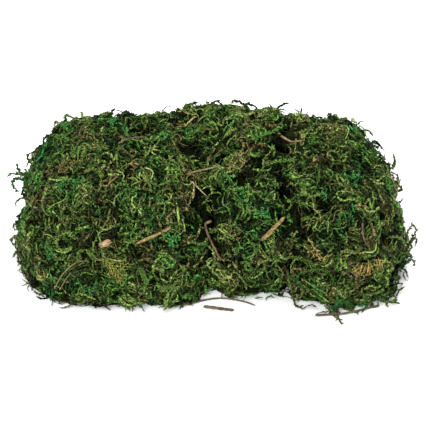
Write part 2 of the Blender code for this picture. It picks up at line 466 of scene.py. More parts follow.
def open_share(others, points, normals, reach=30 * MM, rays=14):
    """How much of the half space in front of each point the other wads leave free, from 0 to 1."""
    spread = np.arange(rays) + 0.5
    rise, around = 1 - spread / rays, spread * np.pi * (3 - 5**0.5)
    flat = np.sqrt(1 - rise**2)
    share = np.empty(len(points))
    for i, (point, normal) in enumerate(zip(points, normals)):
        out = Vector(normal)
        side = out.orthogonal().normalized()
        over = out.cross(side)
        start = Vector(point) + out * 0.05 * MM
        free = 0
        for up, angle, away in zip(rise, around, flat):
            ahead = out * up + (side * math.cos(angle) + over * math.sin(angle)) * away
            free += others.ray_cast(start, ahead, reach)[0] is None
        share[i] = free / rays
    return share


# Deep gaps that the loaf has between its wads, and pits in them: points along each, half its width and its
# depth, all in mm
CLEFTS = [
    ([(50, 16, 81), (44, 6, 82), (38, 0, 82), (33, -11, 83), (25, -19, 81), (20, -23, 78)], 6, 9),
    ([(2, -26, 71), (-4, -20, 64), (-10, -28, 61), (-6, -33, 53), (-4, -40, 42)], 5.5, 5),
    (
        [
            (45, -11, 82),
            (47, -20, 79),
            (48, -26, 74),
            (47, -30, 68),
            (52, -34, 62),
            (54, -45, 57),
            (57, -58, 48),
        ],
        6,
        9,
    ),
    ([(58, -41, 63), (66, -50, 69), (75, -47, 72)], 5, 8),
    ([(-50, 25, 79), (-42, 24, 80)], 6, 8),
    ([(-16, 5, 78), (-12, 5, 78)], 5, 6),
]
# Painted shade: how much deeper than they are shoots are made to look, which darkens them, in a cleft and
# between tufts
CLEFT_SHADE = 5 * MM
TUFT_SHADE = 1.6 * MM


def cleft_share(points):
    """How deep in a cleft each point lies, from 0 to 1, and how far the surface sinks there."""
    share, sunk = np.zeros(len(points)), np.zeros(len(points))
    for route, wide, depth in CLEFTS:
        route = np.array(route, dtype=float) * MM
        for start, end in zip(route, route[1:]):
            along = np.clip((points - start) @ (end - start) / ((end - start) @ (end - start)), 0, 1)
            away = np.linalg.norm(points - start - along[:, None] * (end - start), axis=1) / (wide * MM)
            here = np.exp(-(away**4))
            share, sunk = np.maximum(share, here), np.maximum(sunk, here * depth * MM)
    return share, sunk


# Where the loaf bulges or is hollow: middle, radius and how far its surface moves outwards, all in mm
BULGES = [
    ((112, 15, 68), 30, -4),
    ((65, 40, 78), 12, 4),
    ((-49, 42, 80), 12, 4.5),
    ((-126, -10, 38), 14, -2.5),
    ((124, -38, 4), 18, -7),
]
# How far the front's foot is drawn in under the loaf, or let out where it is negative: x and distance in mm
FOOT = [
    (-90, 1), (-56, 2), (-44, 7), (-34, 2), (-14, -2), (-6, -6), (6, -7), (14, -5),
    (22, 1), (32, 6), (52, 6), (58, 6), (64, 10), (72, 8), (84, 2),
]
FOOT_HEIGHT = 28 * MM  # up to where it is drawn in
FOOT_FRONT = 20 * MM  # how far in front of the middle that starts
FOOT_FADE = 25 * MM  # and over what distance it grows to the full


def shaped(points, normals):
    """The loaf's surface with its bulges, its hollows and the drawn-in foot of its front."""
    moved = points.copy()
    for centre, radius, push in BULGES:
        away = np.linalg.norm(points - np.array(centre) * MM, axis=1) / (radius * MM)
        moved += normals * (push * MM * np.exp(-(away**2)))[:, None]
    low = np.clip(1 - points[:, 2] / FOOT_HEIGHT, 0, 1) ** 1.5
    front = np.clip((-points[:, 1] - FOOT_FRONT) / FOOT_FADE, 0, 1)
    moved[:, 1] += np.interp(points[:, 0] / MM, *zip(*FOOT)) * MM * low * front
    return moved


# Share of free space at which a place counts as shut in by other wads, and as fully open
SHUT, OPEN = 0.12, 0.42
UNDERSIDE = 6 * MM  # what faces down and lies lower than this is the underside


def make_wad_surface(wad, settings):
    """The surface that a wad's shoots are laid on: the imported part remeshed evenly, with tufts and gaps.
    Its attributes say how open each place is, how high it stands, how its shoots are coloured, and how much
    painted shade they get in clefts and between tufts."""
    obj = new_object(f"{wad}_surface", merged_copy(wad))
    remesh = obj.modifiers.new("even", "REMESH")
    remesh.mode, remesh.voxel_size = "VOXEL", settings.detail
    relax = obj.modifiers.new("relax", "SMOOTH")
    relax.factor, relax.iterations = 0.5, 4
    mesh = evaluated_mesh(obj)
    points, normals = coordinates(mesh), coordinates(mesh, "normal")
    others = surface_tree([name for name in WADS if name != wad])
    open_air = np.clip((open_share(others, points, normals) - SHUT) / (OPEN - SHUT), 0, 1)
    under = np.clip((-normals[:, 2] - 0.5) * 3, 0, 1) * (points[:, 2] < UNDERSIDE)
    height = np.clip(0.5 + 0.85 * smooth_noise(points, settings.tuft_size), 0, 1)
    deep, cleft_sunk = cleft_share(points)
    sunk = settings.tuft_depth * (1 - height) * open_air * (1 - under) + cleft_sunk
    move_to(mesh, shaped(points, normals) - normals * sunk[:, None])
    shifts = np.zeros((len(points), 2))
    for centre, radius, hue, tone in PATCHES:
        away = np.linalg.norm(points - np.array(centre) * MM, axis=1) / (radius * MM)
        shifts += np.exp(-(away**2))[:, None] * (hue, tone)
    facts = {
        "hue_shift": shifts[:, 0],
        "tone_shift": shifts[:, 1],
        "open": open_air,
        "under": under,
        "height": height * (1 - 0.9 * deep),
        "shade": deep * CLEFT_SHADE + (1 - height) * open_air * TUFT_SHADE,
    }
    for name, values in facts.items():
        store(mesh, name, values)
    return mesh


def packed_moss_material(settings):
    """Old moss pressed hard, seen only in the gaps: brown and green crumbs with no shine, made near-black as
    painted shade.
    """
    material, tree, shader, place = new_material("pressed dried moss", 0.95, gloss=0.08)
    inputs = {"Vector": place, "Scale": 1 / (3 * MM), "Detail": 4, "Roughness": 0.7}
    crumbs = add(tree, "ShaderNodeTexNoise", inputs)
    colour = add(tree, "ShaderNodeValToRGB", {"Fac": crumbs})
    # painted shade: the crumbs run from near-black, so that the gaps between the shoots look shaded
    black, green, brown = linear("#050801"), linear("#222a0c"), linear("#2b2212")
    set_stops(colour, [(0.3, black), (0.5, settings.colour), (0.68, green), (0.8, brown)])
    tree.links.new(colour.outputs["Color"], shader.inputs["Base Color"])
    bump = add(tree, "ShaderNodeBump", {"Height": crumbs, "Strength": 0.9, "Distance": 1.2 * MM})
    tree.links.new(bump.outputs["Normal"], shader.inputs["Normal"])
    return material


CRUMB = 4.5 * MM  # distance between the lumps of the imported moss


class MOSS_OT_packed_moss(bpy.types.Operator):
    """Make the pressed moss inside each wad, coloured near-black as painted shade where it shows between the
    shoots
    """

    bl_idname = "moss.packed_moss"
    bl_label = "Packed Moss"

    def execute(self, context):
        settings = context.scene.packed_moss
        material = packed_moss_material(settings)
        for wad in WADS:
            surface = make_wad_surface(wad, settings)
            surface.name = f"{wad}_surface"
            surface.use_fake_user = True
            body = surface.copy()
            points, normals = coordinates(body), coordinates(body, "normal")
            crumbs = 0.5 + 0.5 * smooth_noise(points, CRUMB)
            under = values_of(body, "under")
            depth = settings.bed_depth * (0.5 + crumbs) * (1 - under) + 0.3 * MM * under
            move_to(body, settle(points - normals * depth[:, None]))
            body.shade_smooth()
            piece = new_object(f"{wad}_packed", body, material)
            finish_piece(piece, "moss", wad)
        return {"FINISHED"}


# ---------------------------------------------------------------- shoots laid over the wads


# Places where the moss is browner (hue up) or greener (hue down), and paler or darker than the rest: middle
# and radius in mm, hue and tone added. The tone is partly the moss's own and partly painted light, such as
# the paler top rear and the paler foot of the front.
PATCHES = [
    ((2, 15, 83), 18, 0.08, 0.35),
    ((8, -8, 80), 14, 0.04, 0.4),
    ((12, -26, 70), 10, 0.04, 0.4),
    ((-5, 40, 80), 14, 0.0, 0.2),
    ((112, 22, 70), 12, 0.15, 0.2),
    # painted light: paler on the top's rear, which the lamps light less
    ((25, 31, 82), 18, 0.08, 0.45),
    ((42, 20, 83), 16, 0.0, 0.3),
    ((-75, -11, 86), 14, 0.05, -0.25),
    ((-6, -50, 30), 12, 0.15, -0.25),
    ((-100, -18, 79), 18, 0.12, 0.03),
    ((-95, -51, 67), 18, 0.12, 0.0),
    ((-75, -60, 57), 12, 0.0, -0.28),
    ((-120, -43, 21), 28, 0.16, 0.02),
    ((81, -35, 80), 18, 0.05, -0.25),
    ((98, 0, 82), 22, 0.12, 0.02),
    ((99, -51, 67), 18, 0.12, -0.05),
    ((-67, -67, 14), 16, 0.0, 0.15),
    ((-21, -65, 19), 22, 0.1, 0.15),
    ((32, -58, 22), 20, -0.1, 0.15),
    ((78, -69, 22), 18, 0.1, 0.12),
    ((111, -61, 13), 14, -0.1, 0.15),
    # painted light: paler at the front's foot, where light comes up from the floor
    ((97, -66, 8), 14, -0.1, 0.3),
    ((42, -10, 83), 14, -0.18, 0.1),
    ((19, -46, 63), 20, -0.12, 0.08),
    ((-51, -65, 44), 14, -0.15, 0.0),
    ((-75, -58, 60), 12, 0.0, -0.15),
    ((-6, -46, 44), 12, 0.12, -0.2),
    ((32, 45, 78), 16, 0.1, 0.3),
    ((66, 42, 78), 14, 0.05, 0.2),
    ((-40, 46, 78), 12, -0.05, 0.25),
    ((96, -66, 46), 16, 0.1, -0.12),
]
# How widely the shoots' own hues and tones range, and how both drift from place to place: over what distance
# and by how much
OWN_HUE, HUE_DRIFTS = 0.5, [(36 * MM, 0.16), (9 * MM, 0.26)]
OWN_TONE, TONE_DRIFTS = 0.9, [(14 * MM, 0.15), (6 * MM, 0.35)]
# The numbers that the laying tree takes
LAYING_SIZES = ["Density", "Spacing", "Least Depth", "Most Depth", "Tilt", "Stray", "Least Scale"]
LAYING_SIZES += ["Most Scale", "Swirl"]
# What it needs on its way and the finished shoots don't
BUILDING_FACTS = ["root", "outward", "sunk", "cell", "cover", "shade", "open", "under", "height"]
BUILDING_FACTS += ["hue_shift", "tone_shift"]


def shoot_tree():
    """Lays shoots of several kinds over a surface: turned with their neighbours in slow swirls, sunk by
    different depths, and each given its own tone, hue and place in the bake map."""
    inputs = [("Shoots", "NodeSocketCollection"), ("Last Shoot", "NodeSocketInt")]
    inputs += [(label, "NodeSocketFloat") for label in LAYING_SIZES]
    inputs += [("Seed", "NodeSocketInt"), ("Material", "NodeSocketMaterial")]
    tree, given = new_tree("lay shoots", inputs)
    value = given.outputs

    # one random number of each kind for each shoot
    seeds = [
        add(tree, "ShaderNodeMath", {0: value["Seed"], 1: number}, operation="ADD")
        for number in range(1, 9)
    ]
    stray_back, tilt_back = (
        add(tree, "ShaderNodeMath", {0: value[label], 1: -1.0}, operation="MULTIPLY")
        for label in ("Stray", "Tilt")
    )
    ranges = [
        (value["Least Depth"], value["Most Depth"]),
        (0.5 - OWN_HUE / 2, 0.5 + OWN_HUE / 2),
        (0.5 - OWN_TONE / 2, 0.5 + OWN_TONE / 2),
        (stray_back, value["Stray"]),
        (tilt_back, value["Tilt"]),
        (tilt_back, value["Tilt"]),
        (value["Least Scale"], value["Most Scale"]),
    ]
    depth, own_hue, own_tone, stray, lean_over, lean_along, size = (
        add(tree, "FunctionNodeRandomValue", {"Min": low, "Max": high, "Seed": seed}, data_type="FLOAT")
        for (low, high), seed in zip(ranges, seeds)
    )
    inputs = {"Min": 0, "Max": value["Last Shoot"], "Seed": seeds[-1]}
    kind = add(tree, "FunctionNodeRandomValue", inputs, data_type="INT")

    # points on the surface, sunk by their depths
    inputs = {
        "Mesh": value["Geometry"],
        "Distance Min": value["Spacing"],
        "Density Max": value["Density"],
        "Density Factor": add(tree, "GeometryNodeInputNamedAttribute", {"Name": "cover"}, data_type="FLOAT"),
        "Seed": value["Seed"],
    }
    scattered = add(tree, "GeometryNodeDistributePointsOnFaces", inputs, distribute_method="POISSON")
    outward = scattered.outputs["Normal"]
    inward = add(tree, "ShaderNodeMath", {0: depth, 1: -1.0}, operation="MULTIPLY")
    offset = add(tree, "ShaderNodeVectorMath", {0: outward, "Scale": inward}, operation="SCALE")
    laid = add(tree, "GeometryNodeSetPosition", {"Geometry": scattered.outputs["Points"], "Offset": offset})
    position = add(tree, "GeometryNodeInputPosition")

    # each point's hue and tone: its own, the drift of its place and the patch that it lies in
    moods = []
    for mood, drifts, shift in (own_hue, HUE_DRIFTS, "hue_shift"), (own_tone, TONE_DRIFTS, "tone_shift"):
        for reach, share in drifts:
            drift = add(tree, "ShaderNodeTexNoise", {"Vector": position, "Scale": 1 / reach, "Detail": 0.0})
            drift = add(tree, "ShaderNodeMapRange", {"Value": drift, 1: 0.3, 2: 0.7, 3: -share, 4: share})
            mood = add(tree, "ShaderNodeMath", {0: mood, 1: drift}, operation="ADD")
        shift = add(tree, "GeometryNodeInputNamedAttribute", {"Name": shift}, data_type="FLOAT")
        moods.append(add(tree, "ShaderNodeMath", {0: mood, 1: shift}, operation="ADD"))
    kept = [
        ("root", "FLOAT_VECTOR", position),
        ("outward", "FLOAT_VECTOR", outward),
        ("sunk", "FLOAT", depth),
        ("hue", "FLOAT", moods[0]),
        ("tone", "FLOAT", moods[1]),
        ("cell", "FLOAT", add(tree, "GeometryNodeInputIndex")),
    ]
    for name, form, field in kept:
        inputs = {"Geometry": laid, "Name": name, "Value": field}
        laid = add(tree, "GeometryNodeStoreNamedAttribute", inputs, data_type=form, domain="POINT")

    # a shoot on each point: upright, turned with the swirl of its place and tilted
    upright = add(tree, "FunctionNodeAlignRotationToVector", {"Vector": outward}, axis="Z")
    rate = add(tree, "ShaderNodeMath", {0: 1.0, 1: value["Swirl"]}, operation="DIVIDE")
    drift = add(tree, "ShaderNodeTexNoise", {"Vector": position, "Scale": rate, "Detail": 1.0})
    drift = add(tree, "ShaderNodeMath", {0: drift, 1: 6 * math.pi}, operation="MULTIPLY")
    heading = add(tree, "ShaderNodeMath", {0: drift, 1: stray}, operation="ADD")
    spin = add(tree, "FunctionNodeAxisAngleToRotation", {"Axis": (0, 0, 1), "Angle": heading})
    tilt = add(tree, "ShaderNodeCombineXYZ", {"X": lean_over, "Y": lean_along})
    tilt = add(tree, "FunctionNodeEulerToRotation", {"Euler": tilt})
    turned = upright
    for turn in spin, tilt:
        inputs = {"Rotation": turned, "Rotate By": turn}
        turned = add(tree, "FunctionNodeRotateRotation", inputs, rotation_space="LOCAL")
    inputs = {"Collection": value["Shoots"], "Separate Children": True}
    kinds = add(tree, "GeometryNodeCollectionInfo", inputs)
    inputs = {
        "Points": laid,
        "Instance": kinds,
        "Pick Instance": True,
        "Instance Index": kind,
        "Rotation": turned,
        "Scale": size,
    }
    planted = add(tree, "GeometryNodeInstanceOnPoints", inputs)
    real = add(tree, "GeometryNodeRealizeInstances", {"Geometry": planted})

    # how deep each part of a shoot lies, with painted shade in clefts and between tufts added as extra depth,
    # which the materials turn into darkness
    root, outward, sunk, shade, cell, strand_map = (
        add(
            tree,
            "GeometryNodeInputNamedAttribute",
            {"Name": name},
            data_type="FLOAT_VECTOR" if name in {"root", "outward", BAKE_MAP} else "FLOAT",
        )
        for name in ("root", "outward", "sunk", "shade", "cell", BAKE_MAP)
    )
    from_root = add(tree, "ShaderNodeVectorMath", {0: position, 1: root}, operation="SUBTRACT")
    rise = add(tree, "ShaderNodeVectorMath", {0: from_root, 1: outward}, operation="DOT_PRODUCT")
    below = add(tree, "ShaderNodeMath", {0: sunk, 1: rise.outputs["Value"]}, operation="SUBTRACT")
    below = add(tree, "ShaderNodeMath", {0: below, 1: shade}, operation="ADD")
    inputs = {"Geometry": real, "Name": "depth", "Value": below}
    real = add(tree, "GeometryNodeStoreNamedAttribute", inputs, data_type="FLOAT", domain="POINT")

    # each shoot's own cell of the bake map, in a square of columns and rows
    inputs = {"Geometry": scattered.outputs["Points"]}
    count = add(tree, "GeometryNodeAttributeDomainSize", inputs, component="POINTCLOUD")
    columns = add(tree, "ShaderNodeMath", {0: count.outputs["Point Count"], 1: 0.5}, operation="POWER")
    columns = add(tree, "ShaderNodeMath", {0: columns}, operation="CEIL")
    column = add(tree, "ShaderNodeMath", {0: cell, 1: columns}, operation="MODULO")
    row = add(tree, "ShaderNodeMath", {0: cell, 1: columns}, operation="DIVIDE")
    row = add(tree, "ShaderNodeMath", {0: row}, operation="FLOOR")
    corner = add(tree, "ShaderNodeCombineXYZ", {"X": column, "Y": row})
    spread = add(tree, "ShaderNodeVectorMath", {0: corner, 1: strand_map}, operation="ADD")
    share = add(tree, "ShaderNodeMath", {0: 1.0, 1: columns}, operation="DIVIDE")
    spread = add(tree, "ShaderNodeVectorMath", {0: spread, "Scale": share}, operation="SCALE")
    inputs = {"Geometry": real, "Name": BAKE_MAP, "Value": spread}
    real = add(tree, "GeometryNodeStoreNamedAttribute", inputs, data_type="FLOAT2", domain="CORNER")
    for name in BUILDING_FACTS:
        real = add(tree, "GeometryNodeRemoveAttribute", {"Geometry": real, "Name": name})
    finished = add(tree, "GeometryNodeSetMaterial", {"Geometry": real, "Material": value["Material"]})
    add(tree, "NodeGroupOutput", {"Geometry": finished})
    return tree


def shoot_collection(name, meshes):
    """The kinds of shoot that cover a surface, as a collection outside the scene."""
    collection = bpy.data.collections.new(name)
    for i, mesh in enumerate(meshes):
        collection.objects.link(bpy.data.objects.new(f"{name}_{i:02}", mesh))
    return collection


def remove_collection(collection):
    for obj in list(collection.objects):
        bpy.data.objects.remove(obj)
    bpy.data.collections.remove(collection)


def curled_shoot(dice, settings):
    """One leafy shoot, curled into a hook, a bow or a slack S."""
    tangle = Tangle()
    length = settings.length * dice.uniform(0.65, 1.6)
    turn = dice.choice([-1, 1]) * dice.uniform(1.0, 6.0)
    hook = dice.uniform(-3, 3)
    path = curl(dice, length, turn, dice.uniform(1.2, 3.4) * MM, hook, wander=0.5)
    tangle.leafy(path, settings.width * dice.uniform(0.7, 1.15), settings.leaf_pitch, dice)
    return tangle.mesh("curled shoot")


def slender_shoot(dice, settings):
    """One thin, nearly bare shoot."""
    tangle = Tangle()
    length = settings.length * dice.uniform(0.7, 1.5)
    turn = dice.choice([-1, 1]) * dice.uniform(0.5, 5.0)
    path = curl(dice, length, turn, dice.uniform(0.8, 3.0) * MM, dice.uniform(-3, 3), wander=0.4)
    tangle.bare(path, settings.width * dice.uniform(0.45, 0.65), 8, dice)
    return tangle.mesh("slender shoot")


def hair_shoot(dice, settings):
    """One long shoot as thin as a hair."""
    tangle = Tangle()
    length = settings.length * dice.uniform(1.2, 1.9)
    turn, arch, hook = dice.uniform(-4, 4), dice.uniform(0.5, 2.5) * MM, dice.uniform(-3, 3)
    path = curl(dice, length, turn, arch, hook, wander=0.5)
    tangle.bare(path, settings.width * dice.uniform(0.3, 0.45), 9, dice)
    return tangle.mesh("hair shoot")


def bare_stem(dice, settings):
    """One thin stem that has lost its leaves."""
    tangle = Tangle()
    length = settings.length * dice.uniform(0.7, 1.3)
    turn, arch, hook = dice.uniform(-4, 4), dice.uniform(0.6, 2.2) * MM, dice.uniform(-2, 2)
    path = curl(dice, length, turn, arch, hook)
    tangle.bare(path, settings.width * dice.uniform(0.5, 0.8), 6, dice)
    return tangle.mesh("bare stem")


def shoot_material(name, stops, deep, lift=1.0):
    """Dyed, dried moss leaves: matt, in many greens with some brown, paler at leaf edges and shoot tips. Over
    this are painted light and shade: single leaves lit or shaded, shoots that stand up paler, and buried
    shoots and those in clefts and between tufts nearly black and greener."""
    material, tree, shader, spot = new_material(name, 0.6, gloss=0.15)
    hue, tone, along, leaf, depth = (
        add(tree, "ShaderNodeAttribute", attribute_name=attribute).outputs["Fac"]
        for attribute in ("hue", "tone", "along", "leaf", "depth")
    )
    colour = add(tree, "ShaderNodeValToRGB", {"Fac": hue})
    set_stops(colour, [(place, linear(code)) for place, code in stops])
    painted_leaf_light = add(tree, "ShaderNodeTexNoise", {"Vector": spot, "Scale": 1 / (0.9 * MM), "Detail": 2.0})
    ranges = [
        (tone, 0, 1, 0.1 * lift, 1.48 * lift),  # shoots differ
        (leaf, 0, 1, 0.45, 1.3),  # a stem is darker than its leaf tips
        (along, 0, 1, 0.75, 1.35),  # a shoot's tip is paler than its root
        (painted_leaf_light, 0.32, 0.68, 0.12, 1.95),  # painted highlights and shade: single leaves look as if they catch the light or fold away from it
        (depth, -1.0 * MM, deep, 1.3, 0.07),  # painted light and shade: shoots standing up are paler, and buried shoots, and shoots in clefts and between tufts, nearly black
    ]
    bright = 1.0
    for field, low, high, dimmest, brightest in ranges:
        factor = {"Value": field, 1: low, 2: high, 3: dimmest, 4: brightest}
        factor = add(tree, "ShaderNodeMapRange", factor)
        bright = add(tree, "ShaderNodeMath", {0: bright, 1: factor}, operation="MULTIPLY")
    # painted shade: the darker a shoot is made, the greener and less blue its colour
    painted_shade_tint = add(tree, "ShaderNodeValToRGB", {"Fac": bright})
    set_stops(painted_shade_tint, SHADE_TINTS)
    # the hue's colour with the painted shade tint
    dyed = add(tree, "ShaderNodeVectorMath", {0: colour, 1: painted_shade_tint}, operation="MULTIPLY")
    shaded = add(tree, "ShaderNodeVectorMath", {0: dyed, "Scale": bright}, operation="SCALE")
    tree.links.new(shaded.outputs["Vector"], shader.inputs["Base Color"])
    return material


# Where each hue lies: emerald dye at one end, through greens and olives, to brown and tan
COAT_HUES = [
    (0.0, "#2d6833"),
    (0.12, "#32622b"),
    (0.3, "#3f6528"),
    (0.5, "#50682d"),
    (0.68, "#66753d"),
    (0.79, "#605f35"),
    (0.88, "#57502d"),
    (0.95, "#5b5232"),
    (1.0, "#6e6745"),
]
MAT_HUES = [(0.0, "#2f5a2c"), (0.35, "#42582a"), (0.65, "#4f532c"), (0.9, "#54442a"), (1.0, "#6b5434")]
# Painted shade tint: what shoots lose of their colour as the painted shading makes them darker, as if lit by
# light that has passed through green leaves: from the darkest, in linear colour
SHADE_TINTS = [
    (0.0, (0.45, 0.8, 0.06, 1)),
    (0.35, (0.8, 0.95, 0.42, 1)),
    (0.8, (1, 1, 0.95, 1)),
    (1.0, (1, 1, 1, 1)),
]

# Each wad's shoots, in pieces small enough to export: the wad, and the x in metres between which they lie
COAT_PIECES = {
    "left_coat_outer": ("left_wad", -1, -0.085),
    "left_coat": ("left_wad", -0.085, -0.042),
    "left_coat_inner": ("left_wad", -0.042, 1),
    "middle_coat": ("middle_wad", -1, 1),
    "right_coat_inner": ("right_wad", -1, 0.08),
    "right_coat_outer": ("right_wad", 0.08, 1),
    "back_coat": ("back_wad", -1, 1),
}
MAT_PIECES = {f"{wad.split('_')[0]}_mat": (wad, -1, 1) for wad in WADS}
SIZE_SPREAD = (0.8, 1.2)  # least and most size of a laid shoot against its kind
SEED_STEP = 100  # from the seed of one piece to that of the next
STEM_KINDS, LOOSE_KINDS = 14, 24  # how many shapes of bare stem and of loose shoot there are


def laying(settings, shoots, material, seed, density, spacing, depths, tilt, stray):
    """The values that the laying tree takes. Depths and spacing are in mm, tilt and stray in degrees."""
    return {
        "Shoots": shoots,
        "Last Shoot": len(shoots.objects) - 1,
        "Density": float(density),
        "Spacing": spacing * MM,
        "Least Depth": depths[0] * MM,
        "Most Depth": depths[1] * MM,
        "Tilt": math.radians(tilt),
        "Least Scale": SIZE_SPREAD[0],
        "Most Scale": SIZE_SPREAD[1],
        "Swirl": settings.swirl,
        "Stray": math.radians(stray),
        "Seed": settings.seed + seed,
        "Material": material,
    }


def lay_piece(name, surface, cover, values, *replaced):
    store(surface, "cover", cover)
    tree = bpy.data.node_groups.get("lay shoots") or shoot_tree()
    mesh = run_tree(new_object(name, surface), tree, values)
    move_to(mesh, settle(coordinates(mesh)))
    mesh.shade_smooth()
    finish_piece(new_object(name, mesh), "moss", *replaced)


def lay_wads(pieces, values, least_under, least_low):
    """Covers the wads with shoots, piece by piece. Their undersides and the gaps between their tufts carry
    these shares of what open, high places do."""
    for number, (name, (wad, low, high)) in enumerate(pieces.items()):
        surface = bpy.data.meshes[f"{wad}_surface"].copy()
        x = coordinates(surface)[:, 0]
        open_air, under, height = (values_of(surface, fact) for fact in ("open", "under", "height"))
        cover = open_air * (1 - (1 - least_under) * under) * (least_low + (1 - least_low) * height)
        cover = cover * (x >= low) * (x < high)
        lay_piece(name, surface, cover, {**values, "Seed": values["Seed"] + SEED_STEP * number}, wad)


class MOSS_OT_mat(bpy.types.Operator):
    """Lay the mat of bare, brown stems that fills the gaps under the leafy shoots"""

    bl_idname = "moss.mat"
    bl_label = "Mat of Stems"

    def execute(self, context):
        settings = context.scene.shoots
        dice = np.random.default_rng(settings.seed)
        stems = shoot_collection("stem", [bare_stem(dice, settings) for _ in range(STEM_KINDS)])
        material = shoot_material("bare moss stems", MAT_HUES, deep=4.2 * MM, lift=0.8)
        values = laying(settings, stems, material, 31, settings.mat_density, 1.2, (1.0, 3.5), 16, 120)
        lay_wads(MAT_PIECES, values, least_under=0.4, least_low=0.6)
        remove_collection(stems)
        return {"FINISHED"}


class MOSS_OT_coat(bpy.types.Operator):
    """Lay the coat of curled leafy shoots over the wads"""

    bl_idname = "moss.coat"
    bl_label = "Coat of Shoots"

    def execute(self, context):
        settings = context.scene.shoots
        dice = np.random.default_rng(settings.seed + 1)
        kinds = [(curled_shoot, 32), (slender_shoot, 13), (hair_shoot, 5)]
        meshes = [make(dice, settings) for make, count in kinds for _ in range(count)]
        shoots = shoot_collection("shoot", meshes)
        material = shoot_material("dyed sheet moss", COAT_HUES, deep=2.8 * MM)
        values = laying(settings, shoots, material, 57, settings.coat_density, 1.25, (-0.2, 3.2), 16, 40)
        lay_wads(COAT_PIECES, values, least_under=0.15, least_low=0.15)
        remove_collection(shoots)
        return {"FINISHED"}


# ---------------------------------------------------------------- shoots that span the clefts and stand out


def closed_skin(reach, detail):
    """One skin over all the wads, which spans the clefts between them: the wads swollen until they merge,
    then drawn back in."""
    points, faces = [], []
    for wad in WADS:
        mesh = merged_copy(wad)
        swollen = coordinates(mesh) + coordinates(mesh, "normal") * reach
        faces += [[i + len(points) for i in face.vertices] for face in mesh.polygons]
        points += swollen.tolist()
    mesh = bpy.data.meshes.new("skin")
    mesh.from_pydata(points, [], faces)
    obj = new_object("skin", mesh)
    remesh = obj.modifiers.new("merge", "REMESH")
    remesh.mode, remesh.voxel_size = "VOXEL", detail
    relax = obj.modifiers.new("relax", "SMOOTH")
    relax.factor, relax.iterations = 0.5, 3
    mesh = evaluated_mesh(obj)
    move_to(mesh, coordinates(mesh) - coordinates(mesh, "normal") * reach)
    return mesh


SKIN_REACH = 7 * MM  # half the width of the widest cleft that the skin spans


class MOSS_OT_loose_shoots(bpy.types.Operator):
    """Lay shoots across the clefts between the wads, and a few strays that stand out all over"""

    bl_idname = "moss.loose_shoots"
    bl_label = "Loose Shoots"

    def execute(self, context):
        settings = context.scene.shoots
        dice = np.random.default_rng(settings.seed + 2)
        shoots = shoot_collection("loose", [curled_shoot(dice, settings) for _ in range(LOOSE_KINDS)])
        skin = closed_skin(SKIN_REACH, context.scene.packed_moss.detail)
        points, normals = coordinates(skin), coordinates(skin, "normal")
        loaf = surface_tree(WADS)
        span = np.array([loaf.find_nearest(Vector(point))[3] for point in points])
        upper = np.clip((normals[:, 2] + 0.7) * 2, 0, 1)
        ragged = np.clip(0.5 + 1.6 * smooth_noise(points, 15 * MM), 0, 1) * (1 - cleft_share(points)[0])
        gap = np.clip((span - 0.8 * MM) / (1.6 * MM), 0, 1)
        material = bpy.data.materials["dyed sheet moss"]
        # each piece's density also serves as its seed
        for name, cover, density, tilt, deepest in [
            ("cleft_shoots", gap * upper * ragged, 90000, 12, 3.5),
            ("stray_shoots", upper, 2600, 48, 0.5),
        ]:
            values = laying(settings, shoots, material, density, density, 1.5, (-0.5, deepest), tilt, 90)
            lay_piece(name, skin.copy(), cover, values)
        remove_collection(shoots)
        return {"FINISHED"}


# ---------------------------------------------------------------- fronds and sprigs


EASED_STEPS = 8  # places on a path for each point that it is given


def eased(points):
    """A smooth path in metres through points given in mm."""
    points = np.asarray(points, dtype=float) * MM
    ends = np.vstack([2 * points[0] - points[1], points, 2 * points[-1] - points[-2]])
    path = []
    for a, b, c, d in zip(ends, ends[1:], ends[2:], ends[3:]):
        for t in np.arange(EASED_STEPS) / EASED_STEPS:
            bend, twist = 2 * a - 5 * b + 4 * c - d, 3 * b - a - 3 * c + d
            path.append(0.5 * (2 * b + (c - a) * t + bend * t * t + twist * t**3))
    return np.array([*path, points[-1]])


def on_loaf(loaf, path, lift):
    """A path brought to the loaf's surface and lifted off it, and the outward directions there."""
    found = [loaf.find_nearest(Vector(point)) for point in path]
    out = np.array([normal for _, normal, _, _ in found])
    return np.array([place for place, _, _, _ in found]) + out * np.asarray(lift).reshape(-1, 1), out


FORWARD_UP = (0.0, -0.62, 0.79)  # what counts as outwards for a sprig that stands clear of the loaf


def spray(tangle, dice, loaf, stem, lift, branches, reach, lean, width, pitch, sides=(1, -1), **facts):
    """A stem with branches that leave it to the given sides and bend along with it. With a lift it lies
    that far above the loaf's surface. Without one it starts at the surface and then runs through its own
    points."""
    if lift:
        path, out = on_loaf(loaf, eased(stem), lift)
    else:
        foot, _, _, _ = loaf.find_nearest(Vector(stem[0]) * MM)
        path = eased([foot / MM, *stem])
        out = np.tile(FORWARD_UP, (len(path), 1))
    lay_strand(tangle, dice, path, width, pitch, facts)
    for i in range(branches):
        at = 1 + round((i + 0.5) / branches * (len(path) - 3))
        ahead = unit(path[at + 1] - path[at - 1])
        side = np.cross(out[at], ahead) * sides[i % len(sides)]
        angle = lean + dice.normal(0, 0.14)
        length = reach * dice.uniform(0.75, 1.15)
        s = np.linspace(0, 1, 10)[:, None]
        lead = math.cos(angle) * ahead + math.sin(angle) * side
        branch = path[at] + length * (s * lead + 0.22 * s**2 * ahead)
        if lift:
            branch, _ = on_loaf(loaf, branch, lift * (1 + 0.5 * np.sin(np.pi * s)))
        lay_strand(tangle, dice, branch, width * 0.8, pitch, facts)


def lay_strand(tangle, dice, path, width, pitch, facts):
    """A leafy shoot where a leaf pitch is given, and a bare stem where it is 0."""
    mood = {**facts, "tone": facts.get("tone", 0.6) + dice.normal(0, 0.12)}
    if pitch:
        tangle.leafy(path, width, pitch, dice, **mood)
    else:
        tangle.bare(path, width, max(5, len(path) // 2), dice, **mood)


